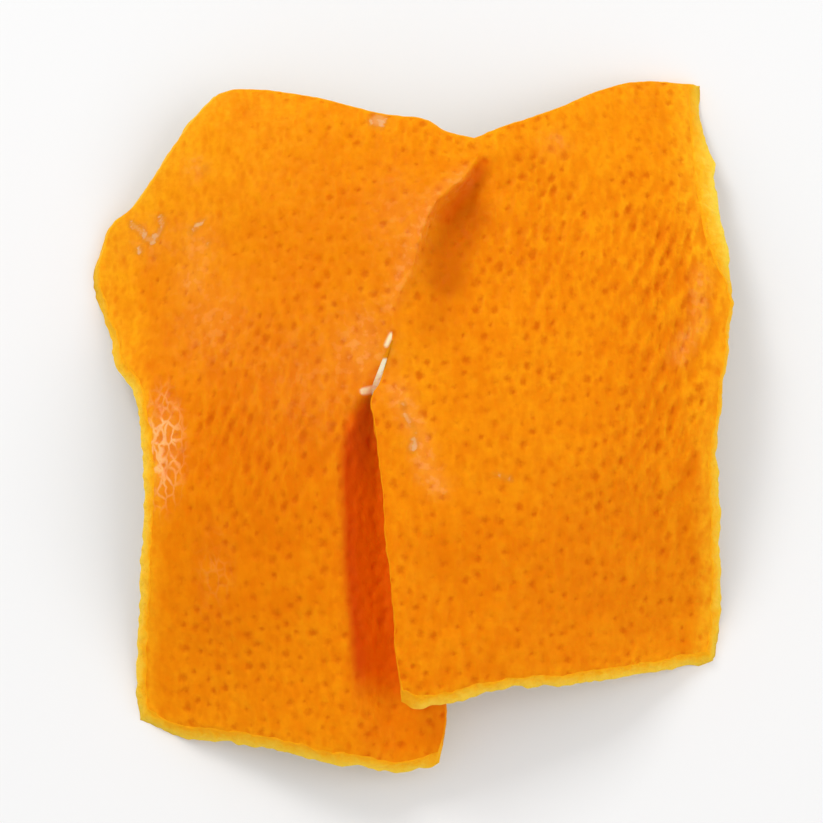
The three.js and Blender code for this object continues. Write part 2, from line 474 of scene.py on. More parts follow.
    def lip(self, side: Flap, v: Array) -> Array:
        """How far the pith of the left bank shows beside its zest, near the tip of the tear.

        Args:
            side: the half, of which only the left one has such a lip.
            v: row shares, 0 at the bottom rim and 1 at the top.

        Returns:
            Widths in millimetres.
        """
        if side is Flap.RIGHT:
            return np.zeros_like(v)
        bank = self.middle(Flap.LEFT, v)
        facing = self.tear[Flap.RIGHT].at(np.linspace(0, 1, self.lip_samples))
        gap = np.interp(bank[:, 1], facing[:, 1], facing[:, 0]) - bank[:, 0]
        return np.clip(gap * self.lip_share, 0, self.widest_lip) * (v < self.tear_share)

    def side_bevel(self, side: Flap, y: Array) -> Array:
        """How far the pith shows beyond the zest along one side of the rim.

        Args:
            side: the half.
            y: plan positions towards the notched rim.

        Returns:
            Widths in millimetres.
        """
        if side is Flap.LEFT:
            return self.left_bevel.at(y)
        return self.right_bevel.at(y) + self.tooth * np.exp(-((y - self.tooth_y) ** 2))

    def points(self, side: Flap, u: Array, v: Array, w: Array) -> Array:
        """Points of one half.

        Args:
            side: the half.
            u: column shares, 0 at the outer rim and 1 at the middle line.
            v: row shares, 0 at the bottom rim and 1 at the top.
            w: depth shares, 0 at the zest and 1 at the pith face.

        Returns:
            Points as rows of x, y and z in millimetres, in the design frame.
        """
        step = self.normal_step
        here = self.zest(side, u, v)
        beside = self.zest(side, np.minimum(u + step, 1), v) - self.zest(side, np.maximum(u - step, 0), v)
        above = self.zest(side, u, np.minimum(v + step, 1)) - self.zest(side, u, np.maximum(v - step, 0))
        normal = np.cross(beside, above)
        steep = np.linalg.norm(normal, axis=1) / np.maximum(np.abs(normal[:, 2]), TINY)
        inset = self.insets(u, v)
        nearest = np.minimum.reduce(list(inset.values()))
        thickness = self.thickness * (1 - (1 - self.rim_share) * np.exp(-nearest / self.rim_taper))
        thickness = thickness * np.minimum(steep, self.steepest_stretch)

        def lean(reach: Array | float, depth: Array, distance: Array) -> Array:
            """How far the pith leans past the zest at a depth, beside a stretch of rim."""
            return reach * depth * np.clip(1 - distance / self.bevel_fade, 0, 1)

        sideways = lean(self.side_bevel(side, here[:, 1]), w, inset["side"])
        ledge = lean(self.lip(side, v), smooth(w, 0, self.ledge_depth), inset["torn"])
        lengthways = lean(self.top_bevel, w, inset["top"]) - lean(self.bottom_bevel, w, inset["bottom"])
        height = np.maximum(here[:, 2] - w * thickness, (1 - w) * self.rim_thickness)
        return np.column_stack([here[:, 0] + (sideways - ledge) * side.value, here[:, 1] + lengthways, height])


@dataclass(frozen=True)
class Lie:
    """Where each vertex of the plate lies before it is roughened.

    Attributes:
        form: the smooth form that it belongs to.
        plain: its place in the design frame, as rows of x, y and z in millimetres.
        side: its half, -1 for the left and 1 for the right.
        row: its row share, 0 at the bottom rim and 1 at the top.
        depth: its depth share, 0 at the zest and 1 at the pith face.
        inset: how far in it is from each stretch of rim, in millimetres.
    """

    form: PeelForm
    plain: Array
    side: Array
    row: Array
    depth: Array
    inset: dict[str, Array]

    @property
    def y(self) -> Array:
        """How far up the plan each vertex lies."""
        return self.plain[:, 1]

    @property
    def left(self) -> Array:
        """Whether each vertex belongs to the left half."""
        return self.side < 0

    @property
    def zest(self) -> Array:
        """Whether each vertex lies on the zest."""
        return self.depth < TINY

    @property
    def pith(self) -> Array:
        """Whether each vertex lies on the pith face."""
        return self.depth > 1 - TINY

    @property
    def past(self) -> Array:
        """How far past the middle line each vertex lies, towards the right."""
        return self.form.past_middle(self.plain[:, 0], self.row)

    @property
    def below(self) -> Array:
        """How far below the tip of the tear each vertex lies."""
        return self.form.tip[1] - self.y

    @property
    def nearest(self) -> Array:
        """How far in from the nearest stretch of rim each vertex lies."""
        return np.minimum.reduce(list(self.inset.values()))

    @property
    def snug(self) -> Array:
        """How closely each vertex lies to where the banks meet at the tip of the tear.

        Returns:
            One value for each vertex, from 0 to 1.
        """
        away = np.where(self.row < self.form.tear_share, self.inset["torn"], np.abs(self.past))
        beside = np.exp(-((away / self.form.snug_reach) ** 2))
        above = smooth(-self.below, 0.0, self.form.snug_above)
        return beside * (1 - smooth(self.below, *self.form.snug_below)) * (1 - above)

    def by_half(self, profiles: dict[Flap, Profile]) -> Array:
        """The measure of each vertex by the profile of its own half."""
        return np.where(self.left, profiles[Flap.LEFT].at(self.y), profiles[Flap.RIGHT].at(self.y))


# --- Relief: what the eye and the thumb find on the plate ---


@dataclass(frozen=True)
class Spot:
    """A soft round or oval patch on the zest, in the design frame."""

    x: float
    y: float
    reach: float
    tall: float = 1.0
    strength: float = 1.0

    def over(self, places: Array) -> Array:
        """How strongly the patch covers each place, from 0 to its strength."""
        away = np.hypot(places[:, 0] - self.x, (places[:, 1] - self.y) / self.tall) / self.reach
        return self.strength * np.exp(-(away**2))


@dataclass(frozen=True)
class Stroke:
    """A narrow mark along a line of points on the zest, in the design frame."""

    points: tuple[Plan, ...]
    reach: float
    strength: float = 1.0

    def over(self, places: Array) -> Array:
        """How strongly the mark covers each place.

        Args:
            places: rows of x, y and z in millimetres.

        Returns:
            Values from 0 to the mark's strength.
        """
        nearest = np.full(len(places), np.inf)
        for start, end in zip(self.points, self.points[1:]):
            leg, from_start = np.subtract(end, start), places[:, :2] - np.array(start)
            share = np.clip(from_start @ leg / (leg @ leg), 0, 1)
            nearest = np.minimum(nearest, np.linalg.norm(from_start - share[:, None] * leg, axis=1))
        return self.strength * np.exp(-((nearest / self.reach) ** 2))


Patch = Spot | Stroke


def cover(patches: Sequence[Patch], places: Array) -> Array:
    """How strongly any of the patches covers each place, from 0 to 1."""
    return np.clip(sum(patch.over(places) for patch in patches), 0, 1)


@dataclass(frozen=True)
class Grain:
    """Random bumps: their height, how far apart they are in millimetres, and their pattern's seed."""

    height: float
    size: float | tuple[float, float, float]
    seed: int
    octaves: int = 1

    def over(self, places: Array) -> Array:
        """Height of the bumps.

        Args:
            places: rows of x, y and z in millimetres.

        Returns:
            One value for each place, from about minus the height to the height.
        """
        scaled = places / np.array(self.size, float) + self.seed * np.array([17.3, 5.1, 9.7])
        if self.octaves == 1:
            return self.height * np.array([noise.noise(Vector(place)) for place in scaled])
        bumps = [noise.fractal(Vector(place), 1.0, 2.0, self.octaves) for place in scaled]
        return self.height * np.array(bumps)


@dataclass
class Glands:
    """The oil glands, each a small pit in the zest, with the zest between them a little swollen."""

    spacing: Plan = (0.92, 1.25)
    spacing_patch: float = 7.0
    jitter: float = 0.12
    radius: Plan = (0.28, 0.54)
    depth: Plan = (0.03, 0.17)
    tone: Plan = (0.25, 1.0)
    swell: float = 0.05
    swell_rises: Plan = (0.3, 0.45)
    least_strength: float = 0.3
    halo: float = 1.25
    slant: float = math.radians(72)
    longest: float = 2.0
    squeeze: float = 0.3
    neighbours: int = 3
    seed: int = 7

    def scatter(self, places: Array) -> Array:
        """Places the glands evenly but at random.

        Args:
            places: points of the zest in millimetres.

        Returns:
            The glands' middles, as rows of x, y and z.
        """
        pick = random.Random(self.seed)
        order = list(range(len(places)))
        pick.shuffle(order)
        low, high = self.spacing
        room = low + (high - low) * (0.5 + Grain(0.5, self.spacing_patch, self.seed).over(places))
        taken: dict[tuple[int, int], list[Array]] = {}
        middles = []
        for i in order:
            place, gap = places[i], room[i]
            column, row = int(place[0] // high), int(place[1] // high)
            near = (p for a in (-1, 0, 1) for b in (-1, 0, 1) for p in taken.get((column + a, row + b), ()))
            if any(sum((ours - theirs) ** 2 for ours, theirs in zip(p, place)) < gap * gap for p in near):
                continue
            taken.setdefault((column, row), []).append(place)
            shift = [pick.uniform(-self.jitter, self.jitter), pick.uniform(-self.jitter, self.jitter), 0.0]
            middles.append(place + np.array(shift))
        return np.array(middles)

    def press(self, places: Array, stretch: Array, strength: Array) -> tuple[Array, Array]:
        """Presses the glands into the zest.

        Args:
            places: points of the zest in millimetres.
            stretch: how far the glands are drawn out along their slant at each point, 0 or more.
            strength: how deep they are at each point, as a share of their full depth.

        Returns:
            How far each point sinks in millimetres, and how near it is to the middle of a gland, from 0
            outside all of them to 1, times that gland's own tone.
        """
        middles = self.scatter(places)
        LOG.info("oil glands: %d", len(middles))
        tree = kdtree.KDTree(len(middles))
        for i, middle in enumerate(middles):
            tree.insert(middle, i)
        tree.balance()
        pick = random.Random(self.seed + 1)
        radius, depth, tone = (
            np.array([pick.uniform(*span) for _ in middles]) for span in (self.radius, self.depth, self.tone)
        )
        along = np.array([math.cos(self.slant), math.sin(self.slant), 0.0])
        start, over = self.swell_rises
        sink, near = np.zeros(len(places)), np.zeros(len(places))
        for i, place in enumerate(places):
            closest = math.inf
            for _, j, _ in tree.find_n(place, self.neighbours):
                away = place - middles[j]
                drawn = float(away @ along)
                square = max(float(away @ away) - drawn * drawn, 0.0) * (1 + self.squeeze * stretch[i])
                gap = math.sqrt(square + (drawn / (1 + self.longest * stretch[i])) ** 2)
                closest = min(closest, gap)
                share = gap / radius[j]
                if share < 1:
                    sink[i] = max(sink[i], depth[j] * (1 - share * share) ** 2)
                near[i] = max(near[i], tone[j] * (1 - share / self.halo))
            swell = min(max((closest - start) / over, 0.0), 1.0)
            sink[i] -= self.swell * swell * swell * (3 - 2 * swell) / max(strength[i], self.least_strength)
        return sink * strength, np.clip(near, 0, 1)


@dataclass(frozen=True)
class Fray:
    """How a stretch of rim wanders: how far on the left and on the right half, which way, and its seed."""

    left: float
    right: float
    way: tuple[int, int, int]
    seed: int


@dataclass
class Relief:
    """How the real surface departs from the smooth form."""

    lie: Lie
    glands: Glands = field(default_factory=Glands)
    ripple: float = 0.05
    waves: tuple[tuple[float, float, float], ...] = (
        (0.37, 0.21, 0.4), (-0.24, 0.46, 1.9), (0.58, -0.33, 3.1), (0.12, 0.71, 5.0), (0.83, 0.3, 2.2),
    )
    ripple_rises: Plan = (0.6, 3.0)
    frays: dict[str, Fray] = field(
        default_factory=lambda: {
            "side": Fray(-0.24, 0.3, (1, 0, 0), 1),
            "top": Fray(0.06, 0.06, (0, 1, 0), 2),
            "bottom": Fray(0.3, 0.3, (0, -1, 0), 3),
            "torn": Fray(0.1, 0.1, (1, 0, 0), 4),
        }
    )
    fray_grains: tuple[Plan, ...] = ((0.65, 1.5), (0.5, 0.62), (0.45, 4.5))
    fray_reach: float = 1.5
    fray_power: float = 1.5
    fray_depth: float = 0.9
    upper_side: Plan = (9.0, 14.0)
    upper_side_calm: float = 0.6
    edge_round: float = 0.1
    edge_reach: float = 0.5
    edge_strength: float = 0.2
    snug_calm: float = 0.8
    slanted: tuple[Spot, ...] = (
        Spot(23.0, 9.0, 4.5, 1.9),
        Spot(22, -8, 5, 1.6, 0.5),
        Spot(12, 13, 6, 1.5, 0.4),
        Spot(-14, -5, 8, 1.1, 0.65),
    )
    slant_angle: float = math.radians(70)
    slant_height: float = 0.38
    slants: Grain = Grain(1.6, (0.85, 3.6, 3.6), 11)
    puckered: tuple[Spot, ...] = (Spot(-22.8, -6.0, 1.9, 2.7, 0.8), Spot(-18, -17, 3, 2.5, 0.22))
    pucker_height: float = 0.24
    puckers: Grain = Grain(1.5, (1.0, 1.5, 1.5), 12)
    crest: float = 0.3
    faint: tuple[Spot, ...] = (Spot(-17, 21, 9, 1.0, 0.75), Spot(17, 24, 8, 0.7, 0.4))
    plain_margin: dict[Flap, Plan] = field(
        default_factory=lambda: {Flap.LEFT: (1.4, 4.6), Flap.RIGHT: (0.3, 1.6)}
    )
    gland_patches: Grain = Grain(0.35, 6.0, 2)
    gland_strength: Plan = (0.15, 1.3)
    slanted_depth: float = 0.3
    mark_power: float = 0.7
    pebbles: tuple[Grain, Grain] = (Grain(0.05, 2.6, 3), Grain(0.05, (0.8, 1.2, 1.0), 4))
    fine_pebbles: Grain = Grain(0.04, (0.55, 1.6, 1.2), 13)
    hollow_depth: float = 0.09
    cut: tuple[Grain, Grain] = (Grain(0.09, 1.3, 5, 2), Grain(0.06, 0.6, 6))
    fibres: Grain = Grain(0.22, (1.7, 11.0, 6.0), 8)
    fibre_crest: float = 0.35
    sponge: Grain = Grain(0.12, 3.4, 9)

    def undulate(self) -> Array:
        """Slow swells of the whole plate, which fade where it rests.

        Returns:
            The height of each vertex over the smooth form, in millimetres.
        """
        x, y, z = self.lie.plain.T
        swells = sum(np.sin(across * x + along * y + start) for across, along, start in self.waves)
        return self.ripple * swells * smooth(z, *self.ripple_rises)

    def fray(self) -> Array:
        """How far the cut and torn edges wander.

        Returns:
            The move of each vertex, as rows of x, y and z in millimetres.
        """
        lie = self.lie
        moved = np.zeros_like(lie.plain)
        for stretch, fray in self.frays.items():
            close = lie.inset[stretch] < self.fray_reach
            spread = (0, 1, 0) if stretch == "torn" else (1, 1, 0)
            at = lie.plain[close] * spread + np.outer(lie.depth[close], (0, 0, self.fray_depth))
            wander = sum(
                Grain(height, size, fray.seed + 10 * turn).over(at)
                for turn, (height, size) in enumerate(self.fray_grains, 1)
            )
            fade = np.clip(1 - lie.inset[stretch][close] / self.fray_reach, 0, 1) ** self.fray_power
            if stretch == "side":
                fade = fade * (1 - self.upper_side_calm * smooth(lie.y[close], *self.upper_side))
            reach = np.where(lie.left[close], fray.left, fray.right)
            moved[close] += (reach * wander * fade)[:, None] * fray.way
        return moved * (1 - lie.snug[:, None])

    def zest(self) -> tuple[Array, dict[str, Array]]:
        """Works the zest: its wrinkles, its pebbled skin and its glands.

        Returns:
            The height of each vertex of the zest over the smooth form, in millimetres, and the marks
            that come with it, by the name that the finishes read.
        """
        lie, on = self.lie, self.lie.zest
        top, side, nearest = lie.plain[on], lie.side[on], lie.nearest[on]
        slanted, puckered, faint = (cover(spots, top) for spots in (self.slanted, self.puckered, self.faint))
        strength = 1.0 - faint + self.slanted_depth * slanted + self.gland_patches.over(top)
        strength = np.clip(strength, *self.gland_strength)
        for flap, reach in self.plain_margin.items():
            own = side == flap.value
            strength[own] *= smooth(lie.inset["side"][on][own], *reach)
        sink, gland = self.glands.press(top, slanted, strength)
        wrinkle = self._wrinkles(top, slanted, puckered)
        pebble = sum(grain.over(top) for grain in self.pebbles) + (1 + slanted) * self.fine_pebbles.over(top)
        calm = self.edge_strength + (1 - self.edge_strength) * smooth(nearest, 0.0, self.edge_reach)
        calm = calm * (1 - self.snug_calm * lie.snug[on])
        rounding = self.edge_round * np.clip(1 - nearest / self.edge_reach, 0, 1) ** 2
        marks = {
            "gland": gland * np.clip(strength, 0, 1) ** self.mark_power,
            "pucker": puckered,
            "slant": slanted,
            # hollow: how deep each vertex lies in the relief's hollows, where the finish paints shade.
            "hollow": np.clip(-(wrinkle + pebble) / self.hollow_depth, 0, 1),
        }
        return (pebble + wrinkle - sink) * calm - rounding, marks

    def _wrinkles(self, top: Array, slanted: Array, puckered: Array) -> Array:
        """Height of the fine wrinkles of the zest, where it has dried and shrunk.

        Args:
            top: points of the zest in millimetres.
            slanted: how strongly the long slanting wrinkles show at each point.
            puckered: how strongly the short puckers show at each point.

        Returns:
            Heights in millimetres.
        """
        cosine, sine = math.cos(self.slant_angle), math.sin(self.slant_angle)
        along = top[:, 0] * cosine + top[:, 1] * sine
        across = -top[:, 0] * sine + top[:, 1] * cosine
        turned = np.column_stack([across, along, top[:, 2]])
        slants = self.slant_height * slanted * (self.crest - np.abs(self.slants.over(turned)))
        return slants + self.pucker_height * puckered * (self.crest - np.abs(self.puckers.over(top)))

    def rim_and_pith(self) -> Array:
        """Works the rim and the pith: rough where cut, and fibrous and spongy beneath.

        Returns:
            The height of each vertex below the zest over the smooth form, in millimetres.
        """
        lie, on = self.lie, ~self.lie.zest
        below, depth, pith = lie.plain[on], lie.depth[on], lie.pith[on]
        rough = sum(grain.over(below) for grain in self.cut)
        fibres = self.fibres.height * self.fibre_crest - np.abs(self.fibres.over(below[pith]))
        rough[pith] += fibres + self.sponge.over(below[pith])
        rough[~pith] *= np.sin(math.pi * depth[~pith]) ** 0.5
        return rough * (1 - lie.snug[on])


# --- Marks: what the finishes read ---


@dataclass
class Marks:
    """Where the peel is scarred, pale or ruddy, and where light and shade are painted onto it."""

    scars: tuple[Patch, ...] = (
        Stroke(((-26.1, 15.8), (-25.3, 15.1), (-24.7, 14.3), (-24.1, 14.0)), 0.34, 1.3),
        Stroke(((-23.3, 16.1), (-23.1, 15.3), (-23.6, 14.4), (-24.1, 14.0)), 0.33, 1.1),
        Spot(-25.3, 13.2, 0.42, 1.0, 1.3),
        Stroke(((-20.3, 14.3), (-19.9, 14.7), (-19.5, 15.1)), 0.42, 0.85),
        Spot(-18.8, 13.0, 0.35, 1.0, 0.7),
        Spot(-19.2, 20.2, 0.5, 1.2, 0.6),
        Spot(-3.5, 24.0, 0.85, 0.9, 1.5),
        Stroke(((-1.3, -3.0), (-1.0, -4.2), (-0.1, -5.4), (-0.5, -7.0)), 0.35, 0.6),
        Spot(-0.4, -6.9, 0.45, 1.0, 1.0),
        Stroke(((7.0, -9.2), (8.2, -9.6)), 0.4, 0.6),
    )
    # Scuffed patches and painted sheen: the stroke along the crest of the crease and the patch beside the tip
    # of the tear are painted highlights.
    scuffs_and_sheens: tuple[Patch, ...] = (
        Spot(-24.3, 14.2, 2.2, 0.9, 0.5),
        Spot(-4.7, 2.6, 1.9, 1.5, 1.0),
        Spot(-9, 0, 5, 1.0, 0.35),
        Stroke(((4.3, 18.6), (1.6, 16.4), (0.1, 13), (-0.9, 10.2), (-2.4, 6.2)), 0.75, 0.75),
        Stroke(((-1.7, -1.8), (-1.2, -3.1), (-0.5, -4.4), (0.1, -5.6), (0.7, -8.6), (1.9, -10.4)), 0.95, 1.15),
        Spot(-19.8, 13.0, 1.6, 1.4, 0.7),
        Spot(-20.5, 9.6, 1.3, 1.0, 0.7),
        Spot(-20.2, 20.4, 0.9, 1.4, 0.6),
        Spot(-18.5, 5.5, 3.0, 1.2, 0.55),
        Spot(-2, 14, 2.2, 2.0, 0.4),
        Spot(12.5, 22, 1.3, 1.0, 0.45),
        Stroke(((25.6, 10.0), (25.4, 5.5), (23.4, 2.2)), 0.8, 0.8),
    )
    torn_skin: tuple[Patch, ...] = (
        Stroke(((-2.3, 3.35), (-2.7, 2.45)), 0.27, 0.85),
        Stroke(((-3.7, -1.3), (-4.3, -1.5), (-4.8, -1.65)), 0.29, 1.2),
    )
    # Patches of painted light, where the zest is drawn paler and yellower because it shows lit.
    pale_tone_and_light: tuple[Patch, ...] = (
        Spot(-19, 20, 12, 1.0, 0.75),
        Spot(14, 18, 9, 1.3, 0.45),
        Spot(-0.8, -1.5, 3.2, 2.0, 0.65),
        Spot(9, -5, 7, 1.0, 0.45),
        Spot(22.5, 2, 4, 4.0, 0.4),
        Spot(-13, 20, 7, 0.8, 0.15),
    )
    ruddy: tuple[Patch, ...] = (
        Spot(-14, -5, 10, 1.4, 0.8),
        Spot(-9, 14, 8, 0.9, 0.35),
        Spot(21, 3, 4, 1.3, 0.15),
        Spot(15, -15, 8, 0.8, 0.15),
    )
    # Painted shade down the crease's valley, where the ridge shadows the right lobe.
    shades: tuple[Stroke, ...] = (
        Stroke(((5.6, 18.8), (4.7, 17.2), (3.7, 15.9), (2.8, 14.2)), 1.2, 0.34),
        Stroke(((4.7, 14.8), (4.0, 13.2), (2.9, 11.0), (2.6, 8.6)), 2.1, 0.55),
        Stroke(((2.6, 8.6), (1.5, 4.4)), 2.0, 0.25),
    )
    # Painted shade on the steep wall of the crease, just right of the ridge.
    wall_shade: Stroke = Stroke(((6.0, 19.8), (5.0, 18.2), (4.2, 17.0), (3.2, 15.7), (2.6, 14.6)), 0.62, 0.62)
    margins: dict[Flap, Profile] = field(
        default_factory=lambda: {
            Flap.LEFT: Profile(0.0, ((1.0, -1, 4),)),
            Flap.RIGHT: Profile(0.0, ((0.7, -7, -3),)),
        }
    )
    margin_reach: Plan = (1.6, 3.2)
    margin_starts: Plan = (0.2, 0.3)
    pale_margin: float = 0.9
    creams: dict[Flap, Profile] = field(
        default_factory=lambda: {
            Flap.LEFT: Profile(0.22, ((0.38, 5, 0),)),
            Flap.RIGHT: Profile(0.25, ((0.65, 9, 13), (-0.5, 20, 26), (0.3, -4, -8))),
        }
    )
    cream_inside: float = 0.6
    cream_reach: Plan = (0.5, 2.0)
    least_cream: float = -0.4
    edges: dict[Flap, Profile] = field(
        default_factory=lambda: {
            Flap.LEFT: Profile(0.3, ((0.3, 0, 4), (0.3, 15, 19))),
            Flap.RIGHT: Profile(0.5, ((0.3, 8, 13), (0.3, -4, -8))),
        }
    )
    edge_inset: Plan = (0.3, 2.0)
    edge_wider: Profile = Profile(0.0, ((0.8, 10.0, 10.0 + TINY),))
    low_rim: Plan = (0.5, 1.6)
    top_rim: Plan = (0.65, 6.0)
    top_starts: float = 20.0
    shade_starts: Plan = (-0.1, 0.3)
    wall_starts: Plan = (0.1, 0.5)
    lip_inset: float = 0.4
    lip_clear: float = 0.3
    lip_ends: Plan = (1.05, 1.35)
    mouth: float = 3.4
    mouth_opens: Plan = (4.9, 3.0)
    gap_edge: Plan = (-0.9, 0.35)
    gap_starts: Plan = (4.4, 5.6)
    gap_ends: Plan = (25.5, 29.5)
    gap_fade: float = 0.85
    buried_above: Plan = (6.0, 9.5)

    def on(self, lie: Lie) -> dict[str, Array]:
        """Works out the marks that depend only on where a vertex lies.

        Args:
            lie: where each vertex lies.

        Returns:
            One value for each vertex, by the name that the finishes read.
        """
        past = lie.past
        margin = self._margin(lie)
        shade = np.maximum.reduce([stroke.over(lie.plain) for stroke in self.shades])
        return {
            "depth": lie.depth,
            "rim": lie.nearest,
            "scar": cover(self.scars, lie.plain),
            # haze: scuffs, and painted sheen on the crest and beside the tear.
            "haze": cover(self.scuffs_and_sheens, lie.plain),
            "torn_skin": cover(self.torn_skin, lie.plain) * lie.left,
            "cream": self._cream(lie),
            "edge": self._edge(lie),
            "lip": self._lip(lie),
            # pale: the paler margins along the sides, plus bands along the rims and patches of painted light.
            "pale": np.clip(self.pale_margin * margin + self._pale_bands_and_painted_light(lie), 0, 1),
            "ruddy": cover(self.ruddy, lie.plain) * (1 - margin),
            # shade: painted shade in the crease's valley, right of the ridge.
            "shade": shade * smooth(past, *self.shade_starts),
            # wall: painted shade on the crease's wall.
            "wall_shade": self.wall_shade.over(lie.plain) * smooth(past, *self.wall_starts),
            # gap and buried: painted shade on the left flap where it ducks under the right one.
            "gap": self._gap(lie),
            "buried": self._buried(lie),
        }

    def _margin(self, lie: Lie) -> Array:
        """How strongly each vertex belongs to the paler margin along the sides.

        Args:
            lie: where each vertex lies.

        Returns:
            One value for each vertex, from 0 to 1.
        """
        wide = lie.by_half(self.margins)
        (least, more), (start, later) = self.margin_reach, self.margin_starts
        return 1 - smooth(lie.inset["side"] / (least + more * wide), start + later * wide, 1.0)

    def _pale_bands_and_painted_light(self, lie: Lie) -> Array:
        """How strongly the zest is drawn paler: in bands along the bottom rim and the high top rim, and in
        patches of painted light.

        Args:
            lie: where each vertex lies.

        Returns:
            One value for each vertex, 0 or more.
        """
        (low, low_reach), (high, high_reach) = self.low_rim, self.top_rim
        low_band = low * (1 - smooth(lie.inset["bottom"], 0, low_reach))
        high_band = high * (1 - smooth(lie.inset["top"], 0, high_reach)) * (lie.y > self.top_starts)
        return low_band + high_band + sum(spot.over(lie.plain) for spot in self.pale_tone_and_light)

    def _cream(self, lie: Lie) -> Array:
        """How pale the cut rim is.

        Args:
            lie: where each vertex lies.

        Returns:
            One value for each vertex, from 1 for cream to less than 0 for the orange of the torn edge.
        """
        away = {stretch: smooth(distance, *self.cream_reach) for stretch, distance in lie.inset.items()}
        cream = lie.by_half(self.creams) * (1 - away["side"])
        cream = cream + self.cream_inside * (away["side"] * (1 - away["bottom"]) + away["torn"] - 1)
        return np.clip(cream, self.least_cream, 1)

    def _edge(self, lie: Lie) -> Array:
        """How golden the zest is beside the rim, from 0 to 1."""
        start, end = self.edge_inset
        away = smooth(lie.inset["side"], start, end + self.edge_wider.at(lie.y))
        return lie.by_half(self.edges) * (1 - away)

    def _lip(self, lie: Lie) -> Array:
        """How clearly the pith shows beside the zest at the tip of the tear, from 0 to 1."""
        lip = lie.form.lip(Flap.LEFT, lie.row) * lie.left * (lie.inset["torn"] < self.lip_inset)
        return np.clip(lip / self.lip_clear, 0, 1) * (1 - smooth(lie.y, *self.lip_ends))

    def _gap(self, lie: Lie) -> Array:
        """How far in under the right flap each vertex of the left one shows, which sets where the gap's shade
        is painted.

        Args:
            lie: where each vertex lies.

        Returns:
            One value for each vertex, from 0 to 1.
        """
        opens, over = self.mouth_opens
        mouth = self.mouth * (1 - np.exp(-np.maximum(lie.below - opens, 0) / over))
        outer, inner = self.gap_edge
        gap = smooth(lie.past, outer - mouth, inner - mouth) * smooth(lie.below, *self.gap_starts)
        return gap * lie.left * (1 - self.gap_fade * smooth(-lie.y, *self.gap_ends))

    def _buried(self, lie: Lie) -> Array:
        """How deep the left flap has ducked under the right one, from 0 to 1, which mixes the colours of the
        gap's painted shade.
        """
        ducked = np.exp(-((np.minimum(lie.past, 0) / lie.form.dip_width(lie.y)) ** 2))
        return np.maximum(ducked, 1 - smooth(lie.below, *self.buried_above)) * lie.left


# --- The peel as a mesh ---


